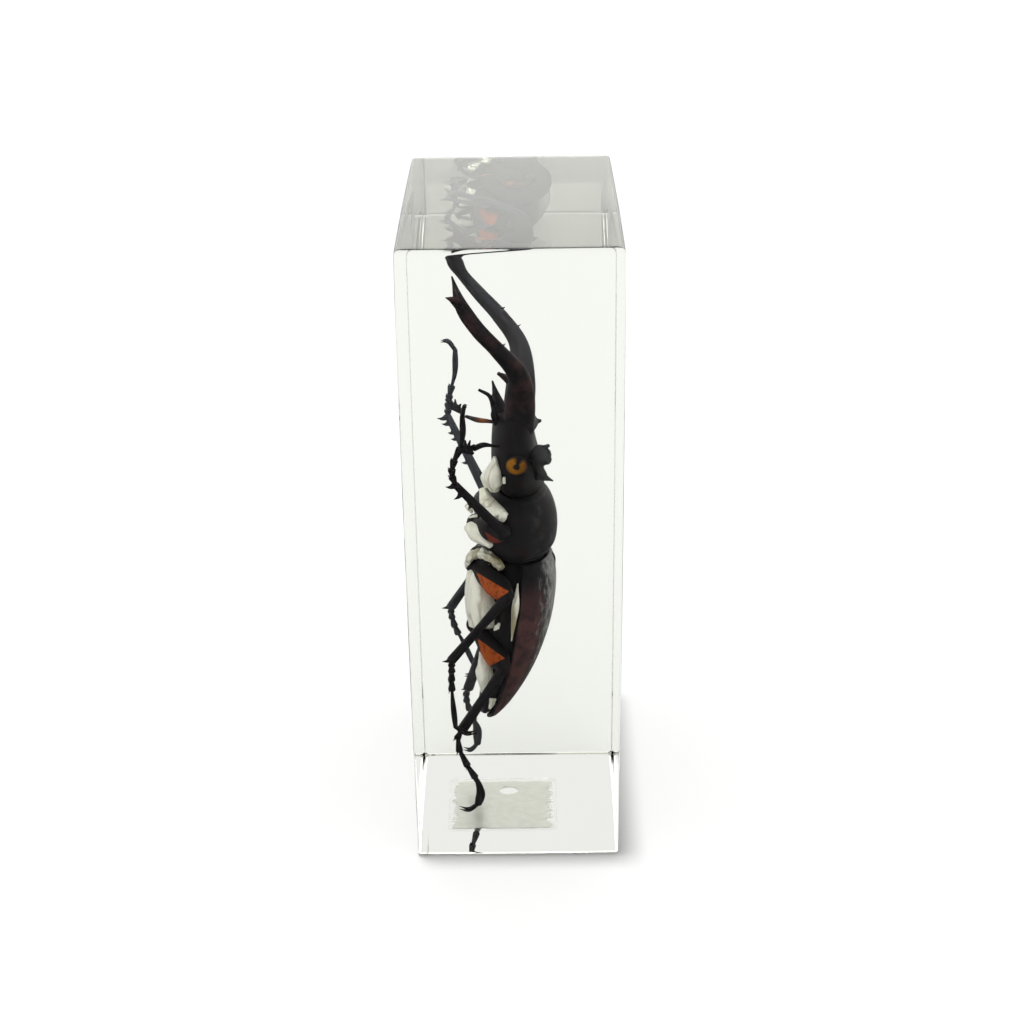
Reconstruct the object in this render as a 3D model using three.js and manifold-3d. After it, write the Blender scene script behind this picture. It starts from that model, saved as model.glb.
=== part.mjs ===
// A stag beetle cast upright in a clear block of resin, with a small sticker under the base.
// Millimetres. +Z is up, towards the beetle's jaws; +X is the beetle's back; -Y is its left side.
// The origin is the middle of the block's underside.
import * as THREE from 'three';
import { mergeVertices } from 'three/addons/utils/BufferGeometryUtils.js';
import Module from 'manifold-3d';

const wasm = await Module();
wasm.setup();

// Driving dimensions
const GAP = 0.3; // between pieces that touch
const BLOCK = { width: 35.5, depth: 55, height: 110, edge: 0.7 };
const PARTING = -2.5; // the level between the two pours of resin
const STICKER = { width: 19.4, depth: 27.6, thick: 0.3, corner: 1.5, x: -2.8, y: -0.8 };
const POCKET = [ // boxes round the beetle: lowest corner, highest corner
  [[-12.5, -15.5, 82], [5.5, 15.5, 104.5]], // jaws
  [[-14.8, -25, 52], [8.9, 25, 86]], // head and front legs
  [[-14.2, -19, 17], [8.9, 19, 56]], // hind body and middle legs
  [[-12.8, -18.5, 3.6], [-2, 18.5, 20]] // hind feet
];

// Sections of the body, listed from the tail to the head.
// z: height; back, belly: x of the outline; wide: half-width; side: x of the widest place.
const WINGCASES = {
  z: [19, 21, 25, 31, 38, 44.5, 49, 51.2],
  back: [-4.6, -2.4, 0.6, 3.7, 6, 7, 6.9, 6.2],
  belly: [-5.6, -4.8, -3.6, -2.1, -0.8, 0, 0.4, 0.6],
  wide: [3.4, 6.4, 9.2, 11.6, 12.8, 13.1, 12, 10.2],
  side: [-5.2, -4.1, -2.7, -1.2, 0.1, 0.9, 1.2, 1.3]
};
const HINDBODY = {
  z: [19.4, 21.5, 25.5, 31, 38, 45, 51.5],
  back: [-5.4, -3.8, -0.8, 2.4, 4.9, 5.7, 4.9],
  belly: [-6.4, -6.7, -6.4, -6.1, -5.8, -5.6, -4.6],
  wide: [2, 5.2, 8.4, 10.4, 11.6, 11.6, 8.6],
  side: [-5.8, -5, -3.6, -2, -1, -0.6, -0.5]
};
const PRONOTUM = {
  z: [51.9, 54, 57.5, 61, 63.4],
  back: [5.9, 7, 7.3, 6.5, 5],
  belly: [-4.4, -5.5, -5.9, -5.2, -3.4],
  wide: [10.4, 12.3, 12.7, 11.8, 9.8],
  side: [0.4, 0.4, 0.3, 0.3, 0.4]
};
const HEAD = {
  z: [63.8, 66, 69.5, 73, 76, 77.3],
  back: [4.6, 5.2, 4.7, 4, 3.6, 2.6],
  belly: [-2.2, -3.4, -3.9, -3.7, -3.1, -2.2],
  wide: [9.2, 11.4, 12.3, 11, 9.2, 7.6],
  side: [0.6, 0.6, 0.5, 0.4, 0.3, 0.3]
};

const SCUTELLUM = { line: [[4.4, 0, 50.8], [5.9, 0, 49.8], [6.6, 0, 47.4]], half: [1.9, 1.7, 0.4] };

// What grows on the left of the head, and is mirrored on the right
const EYE = { spot: [0.6, -11.8, 70.3], across: 1.8, deep: 1.4 };
const CREST = {
  line: [
    [2.6, -11.4, 71.2], [4.2, -11, 69.2], [5.5, -10, 67.2], [4.8, -7, 67.8], [5.5, -4.2, 69.2],
    [4.6, -2.6, 68.4]
  ],
  half: [0.7, 0.8, 0.8, 0.6, 0.9, 0.4]
};
const FRONT_RIDGE = { line: [[3, -5, 74.4], [4, 0, 74.9], [3, 5, 74.4]], half: [0.5, 0.7, 0.5] };
const LIP = { line: [[-1.6, 0, 76.4], [-2.6, 0, 79.4], [-3.2, 0, 82]], half: [2.4, 1.5, 0.4] };
const PALP = { line: [[-2.8, -2.6, 76.4], [-3.6, -2.9, 79.6], [-5.5, -3.3, 80.8]], half: [0.5, 0.4, 0.25] };

// Limbs that lie differently on the two sides
const JAW_HALF = [2.6, 2.4, 1.7, 1.3, 1.3, 1.15, 0.15];
const PRONG_HALF = [0.9, 0.6, 0.1];
const JAWS = {
  left: {
    line: [
      [0.9, -5.3, 75], [1.3, -6.3, 80.5], [0.9, -9.4, 85.6], [-2.2, -12.2, 90.4], [-5.2, -12.9, 94],
      [-7.6, -12.2, 97.6], [-9.2, -6.8, 101.5]
    ],
    prong: [[-7.8, -12.3, 97.8], [-9, -12.9, 99], [-10.1, -13.3, 99.5]]
  },
  right: {
    line: [
      [0.9, 5.3, 75], [1.3, 6.3, 80.5], [0.9, 9.6, 85.6], [-2.2, 12.4, 90.6], [-5.3, 13.4, 94.5],
      [-8.3, 12.8, 98.6], [-10, 7.2, 102.4]
    ],
    prong: [[-8.5, 12.9, 98.8], [-9.8, 13.6, 100], [-10.9, 14, 100.5]]
  }
};
// share: of the way along the jaw; reach: towards the back, the other jaw and up
const JAW_TEETH = [
  { share: 0.2, reach: [-3.7, 1.6, 2.5], half: 0.9 },
  { share: 0.4, reach: [1, 1.6, 1.4], half: 0.5 },
  { share: 0.52, reach: [1, 1.5, 1.2], half: 0.5 },
  { share: 0.64, reach: [1.1, 1.9, 1.2], half: 0.7 }
];

const ANTENNAE = {
  left: {
    line: [[-2.2, -8.6, 72.9], [-4.6, -10, 73.2], [-6.6, -11.2, 72.3]],
    club: [[-6.8, -11.6, 72.6], [-7.2, -12.3, 75]]
  },
  right: {
    line: [[-2.2, 8.6, 72.7], [-5.6, 10, 72.1], [-7.6, 12, 73]],
    club: [[-7.9, 12.2, 73.3], [-9.6, 13.2, 74.9]]
  }
};
const LEGS = {
  front: {
    left: {
      hip: [-6.3, -3.6, 57.8],
      knee: [-2, -14.8, 57.4],
      ankle: [-9.2, -20, 69.3],
      spines: [0.35, 0.62, 0.8, 0.96],
      foot: [[-9.3, -20, 71], [-9.4, -20, 73.8], [-8.3, -20, 76.8], [-7.6, -19.4, 81]],
      claw: [-8.4, -18.6, 82.9]
    },
    right: {
      hip: [-6.3, 3.6, 57.8],
      knee: [-5, 14.8, 58.2],
      ankle: [-11.2, 21.4, 70.2],
      spines: [0.45, 0.68, 0.82, 0.96],
      foot: [[-11.2, 22, 71.8], [-10.8, 22.6, 74.4], [-9.9, 22.6, 77.8], [-9.7, 22, 82.3]],
      claw: [-12.1, 22, 83.9]
    }
  },
  middle: {
    left: {
      hip: [-6.2, -3.6, 49.2],
      knee: [-1.2, -16.6, 47.8],
      ankle: [-10.9, -16, 35.5],
      spines: [0.45, 0.94],
      foot: [[-10.9, -16.2, 33.9], [-11, -16, 30.9], [-10.9, -15.6, 27.6], [-10.3, -15, 21.2]],
      claw: [-8, -15.6, 20.2]
    },
    right: {
      hip: [-6.2, 3.6, 49.2],
      knee: [-4.2, 16, 46.4],
      ankle: [-11.5, 15.2, 35.4],
      spines: [0.45, 0.94],
      foot: [[-11.5, 15.6, 33.6], [-10.8, 16, 30.6], [-9.5, 16, 27.8], [-7.6, 15.6, 23]],
      claw: [-9.4, 16, 21]
    }
  },
  hind: {
    left: {
      hip: [-6.2, -3.6, 37.4],
      knee: [-2, -14.2, 33.2],
      ankle: [-9.6, -11.8, 20],
      spines: [0.5, 0.94],
      foot: [[-10.2, -12, 18.2], [-9.8, -13.4, 15.6], [-8.5, -15, 12.8], [-6.7, -16, 7.4]],
      claw: [-9.9, -16.4, 5.4]
    },
    right: {
      hip: [-6.2, 3.6, 37.4],
      knee: [-4, 14, 34],
      ankle: [-8.8, 12, 19.8],
      spines: [0.5, 0.94],
      foot: [[-9.2, 12.4, 18], [-8.9, 13.2, 15.6], [-7.9, 14.2, 12.6], [-6.6, 14.6, 7]],
      claw: [-9.2, 15, 5.2]
    }
  }
};
const FEMUR = [0.9, 1.75, 1.7, 1];
const TIBIA = { front: [0.7, 1.1, 1.35], middle: [0.65, 0.85, 1.15], hind: [0.65, 0.85, 1.15] };
const COXA = { across: 2.3, deep: 1.7 };
const BEAD_SHARE = 0.18; // of the foot's length, one bead of it
const SPINE_WAY = new THREE.Vector3(-1, 0, -0.35).normalize(); // the way that the shins' spines point

const shellBlack = new THREE.MeshStandardMaterial({ color: 0x17120f, roughness: 0.4 });
const mahogany = new THREE.MeshStandardMaterial({ color: 0x351410, roughness: 0.4 });
const eyeYellow = new THREE.MeshStandardMaterial({ color: 0xc8811c, roughness: 0.5 });
const stickerGrey = new THREE.MeshStandardMaterial({ color: 0xb9b9b3, roughness: 0.8 });
const resin = new THREE.MeshStandardMaterial({ color: 0xeef2e8, roughness: 0.05 });
resin.transparent = true;
resin.opacity = 0.3;

const BACK = new THREE.Vector3(1, 0, 0);
const point = ([x, y, z]) => new THREE.Vector3(x, y, z);
const mirrored = ([x, y, z]) => [x, -y, z];

// A closed solid from a closed geometry.
function solid(geometry) {
  geometry.deleteAttribute('normal');
  geometry.deleteAttribute('uv');
  const merged = mergeVertices(geometry);
  const vertProperties = merged.getAttribute('position').array;
  const triVerts = new Uint32Array(merged.getIndex().array);
  return new wasm.Manifold(new wasm.Mesh({ numProp: 3, vertProperties, triVerts }));
}

function box(low, high) {
  const size = point(high).sub(point(low));
  const middle = point(high).add(point(low)).multiplyScalar(0.5);
  return solid(new THREE.BoxGeometry(size.x, size.y, size.z).translate(middle.x, middle.y, middle.z));
}

function ball(spot, half, sides, rings) {
  const geometry = new THREE.SphereGeometry(1, sides, rings);
  return solid(geometry.scale(half[0], half[1], half[2]).translate(spot[0], spot[1], spot[2]));
}

const together = (solids) => solids.reduce((sum, next) => sum.add(next));

// The numbers of a list as one smooth curve: 0 gives the first, 1 the last.
function smooth(numbers) {
  const last = numbers.length - 1;
  const curve = new THREE.SplineCurve(numbers.map((value, i) => new THREE.Vector2(i / last, value)));
  return (share) => curve.getPoint(share).y;
}

// A closed skin: the rings of a ball, from pole to pole, carried to place(ring, up, across),
// where up and across are the two sides of the unit circle round the ring.
function skin(sides, rings, place) {
  const geometry = new THREE.SphereGeometry(1, sides, rings);
  const spots = geometry.getAttribute('position');
  for (let i = 0; i < spots.count; i += 1) {
    const turn = (i % (sides + 1)) / sides * 2 * Math.PI;
    const spot = place(Math.floor(i / (sides + 1)), -Math.cos(turn), Math.sin(turn));
    spots.setXYZ(i, spot.x, spot.y, spot.z);
  }
  return solid(geometry);
}

// Share of the way along, for a ring that is not a pole; both poles share the ends with their ring.
const shareOf = (ring, rings) => THREE.MathUtils.clamp((ring - 1) / (rings - 2), 0, 1);

// A limb with domed ends: an oval section carried along a smooth line. half: its half-widths at
// the line's points; flat: its height towards the back as a share of its width.
function limb(line, half, { flat = 1, sides = 8, rings = 2 * line.length + 2, grow = 0 } = {}) {
  const curve = new THREE.CatmullRomCurve3(line.map(point));
  const halfAt = smooth(half);
  const dome = 0.6;
  return skin(sides, rings, (ring, up, across) => {
    const share = shareOf(ring, rings);
    const along = curve.getTangent(share);
    const width = halfAt(share) + grow;
    const spot = curve.getPoint(share);
    if (ring === 0 || ring === rings) {
      return spot.addScaledVector(along, (ring === 0 ? -dome : dome) * width);
    }
    const upward = BACK.clone().projectOnPlane(along).normalize();
    const sideways = along.clone().cross(upward);
    const height = halfAt(share) * flat + grow;
    return spot.addScaledVector(upward, up * height).addScaledVector(sideways, across * width);
  });
}

// A body part: oval sections, flatter below than above, stacked along Z from its table.
// Its ends are flat discs in their own planes.
function torso(table, { sides = 20, rings = 11, grow = 0 } = {}) {
  const at = Object.fromEntries(Object.entries(table).map(([name, numbers]) => [name, smooth(numbers)]));
  return skin(sides, rings, (ring, up, across) => {
    const share = shareOf(ring, rings);
    const end = ring === 0 || ring === rings;
    const middle = at.side(share);
    const height = up > 0 ? at.back(share) + grow - middle : middle - at.belly(share) + grow;
    const lift = share === 0 ? -grow : share === 1 ? grow : 0;
    const open = end ? 0 : 1;
    return new THREE.Vector3(
      middle + open * up * height,
      open * across * (at.wide(share) + grow),
      at.z(share) + lift
    );
  });
}

function thorn(root, tip, half) {
  return limb([root, tip], [half, 0.12], { sides: 5, rings: 3 });
}

function block() {
  const { width, depth, height, edge } = BLOCK;
  const outline = new THREE.Shape();
  outline.moveTo(-width / 2 + edge, -depth / 2 + edge);
  outline.lineTo(width / 2 - edge, -depth / 2 + edge);
  outline.lineTo(width / 2 - edge, depth / 2 - edge);
  outline.lineTo(-width / 2 + edge, depth / 2 - edge);
  const bevel = { bevelThickness: edge, bevelSize: edge, bevelSegments: 2 };
  const geometry = new THREE.ExtrudeGeometry(outline, { depth: height - 2 * edge, ...bevel });
  return solid(geometry.translate(0, 0, edge));
}

function sticker() {
  const { width, depth, thick, corner, x, y } = STICKER;
  const outline = new THREE.Shape();
  const right = width / 2 - corner;
  const far = depth / 2 - corner;
  outline.absarc(right, -far, corner, -Math.PI / 2, 0);
  outline.absarc(right, far, corner, 0, Math.PI / 2);
  outline.absarc(-right, far, corner, Math.PI / 2, Math.PI);
  outline.absarc(-right, -far, corner, Math.PI, 1.5 * Math.PI);
  const plate = { depth: thick, bevelEnabled: false, curveSegments: 4 };
  const geometry = new THREE.ExtrudeGeometry(outline, plate);
  return solid(geometry.translate(x, y, 0));
}

// The shallow recess under the block that the sticker lies in.
function stickerRecess() {
  const { width, depth, thick, x, y } = STICKER;
  const halfWidth = width / 2 + GAP;
  const halfDepth = depth / 2 + GAP;
  return box([x - halfWidth, y - halfDepth, -1], [x + halfWidth, y + halfDepth, thick + GAP]);
}

// The block is parted at one level; each half holds its share of the pocket.
function pours() {
  const pocket = together(POCKET.map(([low, high]) => box(low, high)));
  const whole = block().subtract(pocket).subtract(stickerRecess());
  const far = BLOCK.height;
  return {
    resin_first_pour: whole.intersect(box([-far, -far, -far], [PARTING - GAP / 2, far, 2 * far])),
    resin_second_pour: whole.intersect(box([PARTING + GAP / 2, -far, -far], [far, far, 2 * far]))
  };
}

// The small three-cornered plate between the wing cases.
function scutellum(grow = 0) {
  const { line, half } = SCUTELLUM;
  return limb(line, half, { flat: 0.6, rings: 6, grow });
}

// Both wing cases are one arched shell over the hind body, parted along the back.
function wingCases() {
  const arch = torso(WINGCASES, { sides: 22, rings: 13 });
  const shell = arch.subtract(torso(HINDBODY, { grow: GAP })).subtract(scutellum(GAP));
  const far = BLOCK.height;
  return {
    elytron_left: shell.intersect(box([-far, -far, 0], [far, -GAP / 2, far])),
    elytron_right: shell.intersect(box([-far, GAP / 2, 0], [far, far, far]))
  };
}

const headCore = (grow = 0) => torso(HEAD, { sides: 20, rings: 9, grow });

function head() {
  const sides = [(spot) => spot, mirrored];
  const paired = sides.flatMap((turned) => [
    limb(CREST.line.map(turned), CREST.half, { sides: 6, rings: 8 }),
    limb(PALP.line.map(turned), PALP.half, { sides: 5, rings: 5 })
  ]);
  const ridge = limb(FRONT_RIDGE.line, FRONT_RIDGE.half, { sides: 6, rings: 5 });
  const lip = limb(LIP.line, LIP.half, { flat: 0.45, sides: 6, rings: 4 });
  const jaws = Object.values(JAWS).map(({ line }) => jawCore(line, GAP));
  const eyes = sides.map((turned) => eye(turned, GAP));
  return together([headCore(), ridge, lip, ...paired]).subtract(together([...jaws, ...eyes]));
}

function eye(turned, grow = 0) {
  const { spot, across, deep } = EYE;
  return ball(turned(spot), [across + grow, deep + grow, across + grow], 12, 6);
}

function jawCore(line, grow = 0) {
  return limb(line, JAW_HALF, { sides: 8, rings: 14, grow });
}

// A jaw: a long curved bar, forked at its end, with teeth on the side that faces the other jaw.
function jaw({ line, prong }) {
  const curve = new THREE.CatmullRomCurve3(line.map(point));
  const inward = -Math.sign(line[0][1]);
  const teeth = JAW_TEETH.map(({ share, reach: [back, inner, up], half }) => {
    const root = curve.getPoint(share);
    const tip = root.clone().add(new THREE.Vector3(back, inward * inner, up));
    return thorn(root.toArray(), tip.toArray(), half);
  });
  return together([jawCore(line), limb(prong, PRONG_HALF, { sides: 6, rings: 5 }), ...teeth]);
}

// An elbowed antenna: shaft, then a comb of four leaves that stand out towards the belly.
function antenna({ line, club }) {
  const [from, to] = club.map(point);
  const leaf = new THREE.Vector3(-1.5, 0, 0.4);
  const leaves = [0.1, 0.4, 0.7, 1].map((share) => {
    const root = from.clone().lerp(to, share);
    return limb([root.toArray(), root.clone().add(leaf).toArray()], [0.42, 0.25], { sides: 5, rings: 3 });
  });
  const shaft = limb(line, [0.3, 0.4, 0.6], { sides: 5, rings: 5 });
  const stem = limb([line.at(-1), ...club], [0.45, 0.4, 0.4], { sides: 5, rings: 4 });
  return together([shaft, stem, ...leaves]).subtract(headCore(GAP));
}

// A leg: hip bulge, thigh, shin with its outer spines, four beads, a long last joint, two claws.
function leg({ hip, knee, ankle, spines, foot, claw }, shinHalf) {
  const between = (from, to, share) => point(from).lerp(point(to), share).toArray();
  const hipBulge = ball(hip, [COXA.deep, COXA.across, COXA.deep], 8, 5);
  const thighLine = [0.12, 0.4, 0.75, 1].map((share) => between(hip, knee, share));
  const thigh = limb(thighLine, FEMUR, { rings: 6 });
  const shin = limb([knee, between(knee, ankle, 0.5), ankle], shinHalf, { flat: 0.8, sides: 6, rings: 5 });
  const thorns = spines.map((share) => {
    const root = point(between(knee, ankle, share)).addScaledVector(SPINE_WAY, 0.5);
    return thorn(root.toArray(), root.clone().addScaledVector(SPINE_WAY, 1.7).toArray(), 0.5);
  });
  const toes = new THREE.CatmullRomCurve3([ankle, ...foot].map(point));
  const toe = (share) => toes.getPoint(share).toArray();
  const beads = [0, 1, 2, 3].map((i) => {
    return limb([toe(i * BEAD_SHARE), toe((i + 1.25) * BEAD_SHARE)], [0.3, 0.62], { sides: 5, rings: 3 });
  });
  const lastJoint = limb([toe(0.7), toe(0.85), toe(1)], [0.3, 0.36, 0.6], { sides: 5, rings: 4 });
  const rise = Math.sign(claw[2] - ankle[2]);
  const claws = [-1, 1].map((way) => {
    const middle = point(between(toe(1), claw, 0.5)).add(new THREE.Vector3(0, way * 0.5, rise * 0.6));
    const tip = point(claw).add(new THREE.Vector3(0, way * 0.9, 0));
    return limb([toe(1), middle.toArray(), tip.toArray()], [0.4, 0.3, 0.1], { sides: 4, rings: 4 });
  });
  return together([hipBulge, thigh, shin, lastJoint, ...thorns, ...beads, ...claws]);
}

const pieces = [];
function keep(name, piece, material) {
  pieces.push([name, piece, material]);
}

for (const [name, pour] of Object.entries(pours())) {
  keep(name, pour, resin);
}
keep('base_sticker', sticker(), stickerGrey);
keep('head', head(), shellBlack);
keep('pronotum', torso(PRONOTUM), shellBlack);
keep('hindbody', torso(HINDBODY).add(scutellum()), shellBlack);
for (const [name, wingCase] of Object.entries(wingCases())) {
  keep(name, wingCase, mahogany);
}
for (const [side, turned] of [['left', (spot) => spot], ['right', mirrored]]) {
  keep(`mandible_${side}`, jaw(JAWS[side]), mahogany);
  keep(`eye_${side}`, eye(turned), eyeYellow);
  keep(`antenna_${side}`, antenna(ANTENNAE[side]), shellBlack);
}
const carriers = {
  front: torso(PRONOTUM, { grow: GAP }),
  middle: torso(HINDBODY, { grow: GAP }),
  hind: torso(HINDBODY, { grow: GAP })
};
for (const [pair, { left, right }] of Object.entries(LEGS)) {
  keep(`${pair}_leg_left`, leg(left, TIBIA[pair]).subtract(carriers[pair]), shellBlack);
  keep(`${pair}_leg_right`, leg(right, TIBIA[pair]).subtract(carriers[pair]), shellBlack);
}

const beetleInResin = new THREE.Group();
for (const [name, piece, material] of pieces) {
  const { vertProperties, triVerts } = piece.getMesh();
  const geometry = new THREE.BufferGeometry();
  geometry.setAttribute('position', new THREE.BufferAttribute(new Float32Array(vertProperties), 3));
  geometry.setIndex(new THREE.BufferAttribute(new Uint32Array(triVerts), 1));
  const mesh = new THREE.Mesh(geometry, material);
  mesh.name = name;
  beetleInResin.add(mesh);
}

export default beetleInResin;
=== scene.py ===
"""A stag beetle cast upright in a clear block of resin, with a small grey sticker under the base.

Lengths are written in millimetres and turned into metres where a mesh is made. +Z is up, towards
the beetle's jaws; +X is the beetle's back; -Y is its left side. The origin is the middle of the
block's underside.
"""

import math

import bpy
import numpy as np
from mathutils import Matrix, Vector


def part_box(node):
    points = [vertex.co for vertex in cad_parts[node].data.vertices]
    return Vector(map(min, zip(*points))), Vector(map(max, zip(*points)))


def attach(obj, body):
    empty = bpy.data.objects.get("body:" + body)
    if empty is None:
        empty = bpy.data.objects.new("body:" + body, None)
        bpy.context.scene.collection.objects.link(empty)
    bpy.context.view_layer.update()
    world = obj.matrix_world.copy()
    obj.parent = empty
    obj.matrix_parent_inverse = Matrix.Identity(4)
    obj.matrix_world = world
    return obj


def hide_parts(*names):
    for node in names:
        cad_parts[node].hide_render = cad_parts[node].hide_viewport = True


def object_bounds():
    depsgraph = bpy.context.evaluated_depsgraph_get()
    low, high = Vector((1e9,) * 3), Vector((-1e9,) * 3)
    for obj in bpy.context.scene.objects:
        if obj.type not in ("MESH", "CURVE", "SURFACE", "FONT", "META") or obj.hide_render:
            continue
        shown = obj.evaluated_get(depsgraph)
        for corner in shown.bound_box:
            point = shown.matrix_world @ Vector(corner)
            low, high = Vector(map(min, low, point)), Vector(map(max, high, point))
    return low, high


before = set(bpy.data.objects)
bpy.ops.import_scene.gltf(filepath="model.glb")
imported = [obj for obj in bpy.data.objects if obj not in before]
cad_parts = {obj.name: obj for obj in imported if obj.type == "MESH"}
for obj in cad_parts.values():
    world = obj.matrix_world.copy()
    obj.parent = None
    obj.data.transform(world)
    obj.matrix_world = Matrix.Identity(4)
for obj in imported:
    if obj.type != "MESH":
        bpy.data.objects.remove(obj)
cad_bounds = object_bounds()

MM = 0.001
BODY = "root"
BACK = np.array([1.0, 0.0, 0.0])
UPWARD = np.array([0.0, 0.0, 1.0])
WHOLE_TURN = 2 * math.pi

# ---- the view and the light

IMAGE_SIZE = 1024
CAMERA = {
    "spot": (2.32, -294.24, 194.31),
    "yaw": -0.540,  # degrees to the right of +Y
    "pitch": 25.57,  # degrees down
    "roll": -0.865,
    "focal_pixels": 1854.3,
}
CAMERA_SEES = (0.01, 200)  # metres, nearest and farthest
SENSOR = 36.0
WORLD_LIGHT = 1.0
SUN = {"energy": 3.6, "angle": math.radians(3.2)}
SUN_TILT = {"back": math.radians(0.8), "left": math.radians(1.3)}
BACK_PANEL = {"shape": "RECTANGLE", "size": 2.6, "size_y": 0.75, "energy": 7.3, "color": (1, 1, 0.93)}
BACK_PANEL_SPOT = (0, 1.9, 0.56)  # metres
FLOOR_HALF = 30.0  # metres
FLOOR_DROP = 0.1
FLOOR_SHADE = 0.5


def put_in_scene(name, data):
    """A new object at the origin that carries this mesh, lamp or camera."""
    made = bpy.data.objects.new(name, data)
    bpy.context.scene.collection.objects.link(made)
    return made


def place_camera():
    """The camera: turned by yaw, tipped down by pitch, then rolled about its own line of sight."""
    yaw, pitch, roll = (math.radians(CAMERA[turn]) for turn in ("yaw", "pitch", "roll"))
    ahead = np.array([math.sin(yaw) * math.cos(pitch), math.cos(yaw) * math.cos(pitch), -math.sin(pitch)])
    level = np.array([math.cos(yaw), -math.sin(yaw), 0.0])
    above = np.cross(level, ahead)
    right = level * math.cos(roll) + above * math.sin(roll)
    up = above * math.cos(roll) - level * math.sin(roll)
    lens = bpy.data.cameras.new("camera")
    lens.sensor_width = SENSOR
    lens.lens = SENSOR * CAMERA["focal_pixels"] / IMAGE_SIZE
    lens.clip_start, lens.clip_end = CAMERA_SEES
    camera = put_in_scene("camera", lens)
    axes = np.column_stack([right, up, -ahead])
    camera.matrix_world = Matrix.Translation(Vector(CAMERA["spot"]) * MM) @ Matrix(axes.tolist()).to_4x4()
    bpy.context.scene.camera = camera


def lamp(name, kind, spot, aim, **settings):
    """A lamp at a spot, turned so that it shines at its aim."""
    data = bpy.data.lights.new(name, kind)
    for setting, value in settings.items():
        setattr(data, setting, value)
    made = put_in_scene(name, data)
    way = Vector(aim) - Vector(spot)
    made.location = spot
    made.rotation_mode = "QUATERNION"
    made.rotation_quaternion = way.to_track_quat("-Z", "Y")
    return made


def light_the_studio():
    """White surroundings, a soft lamp overhead, and a white panel behind the block."""
    world = bpy.data.worlds.new("studio")
    world.use_nodes = True
    background = world.node_tree.nodes["Background"].inputs
    background["Strength"].default_value = WORLD_LIGHT
    background["Color"].default_value = (1, 1, 1, 1)
    bpy.context.scene.world = world
    above = (-math.tan(SUN_TILT["left"]), math.tan(SUN_TILT["back"]), 1)
    overhead = lamp("overhead_light", "SUN", above, (0, 0, 0), **SUN)
    overhead.data.cycles.use_multiple_importance_sampling = False
    lamp("back_panel", "AREA", BACK_PANEL_SPOT, (0, 0, BACK_PANEL_SPOT[2]), **BACK_PANEL)


# ---- curves and skins


def whereabouts(share, last):
    """The knot before each share of a line with this last knot, and the share of the way on."""
    place = np.clip(share, 0, 1) * last
    here = np.minimum(place.astype(int), last - 1)
    return here, place - here


def cubic(t, start, end, leave, arrive):
    """From start to end as t goes from 0 to 1, with these slopes at the two."""
    bend = 2 * (start - end) + leave + arrive
    return ((bend * t + 3 * (end - start) - 2 * leave - arrive) * t + leave) * t + start


def smooth(numbers):
    """The numbers of a list as one smooth curve: 0 gives the first, 1 the last.

    A Catmull-Rom curve: between two numbers it is the cubic whose slope at each of them is half
    the step from the number before it to the number after it.
    """
    knots = np.asarray(numbers, float)
    last = len(knots) - 1

    def at(share):
        here, t = whereabouts(share, last)
        before, start, end, after = (knots[np.clip(here + step, 0, last)] for step in (-1, 0, 1, 2))
        return cubic(t, start, end, (end - before) / 2, (after - start) / 2)

    return at


def curve(points):
    """A line through the points, from 0 at the first to 1 at the last.

    A centripetal Catmull-Rom curve: the slopes at a point weigh the steps on both sides of it by
    the square root of their lengths. The ends go on straight.
    """
    spots = np.asarray(points, float)
    spots = np.vstack([2 * spots[0] - spots[1], spots, 2 * spots[-1] - spots[-2]])

    def at(share):
        here, t = whereabouts(share, len(points) - 1)
        a, b, c, d = (spots[here + step] for step in range(4))
        ab, bc, cd = (np.sqrt(np.linalg.norm(y - x, axis=1))[:, None] for x, y in ((a, b), (b, c), (c, d)))
        leave = ((b - a) / ab - (c - a) / (ab + bc) + (c - b) / bc) * bc
        arrive = ((c - b) / bc - (d - b) / (bc + cd) + (d - c) / cd) * bc
        return cubic(t[:, None], b, c, leave, arrive)

    return at


def unit(ways):
    """The same ways, each made one long."""
    return ways / np.linalg.norm(ways, axis=-1, keepdims=True)


def around(sides):
    """Angles once round a section, from the back side."""
    return np.linspace(0, WHOLE_TURN, sides, endpoint=False)


def spread(count):
    """Shares from 0 to 1 that lie closer together near both ends."""
    return (1 - np.cos(math.pi * np.linspace(0, 1, count))) / 2


def hump(value, middle, reach):
    """1 at the middle, falling to 0 as a bell over about twice the reach."""
    return np.exp(-((value - middle) / reach) ** 2)


def flow_of(share, turn):
    """For each point of a grid, its share along and the cosine and sine of its angle."""
    share, turn = np.broadcast_arrays(share[:, None], turn)
    return np.stack([share, np.cos(turn), np.sin(turn)], axis=-1).reshape(-1, 3)


def quads_between(left, right):
    """Four-sided faces between two grids of point numbers that lie side by side."""
    return np.stack([left[:-1], right[:-1], right[1:], left[1:]], axis=-1).reshape(-1, 4)


def wrapped(turn):
    """An angle brought to between minus and plus half a turn."""
    return np.mod(turn + math.pi, WHOLE_TURN) - math.pi


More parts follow.
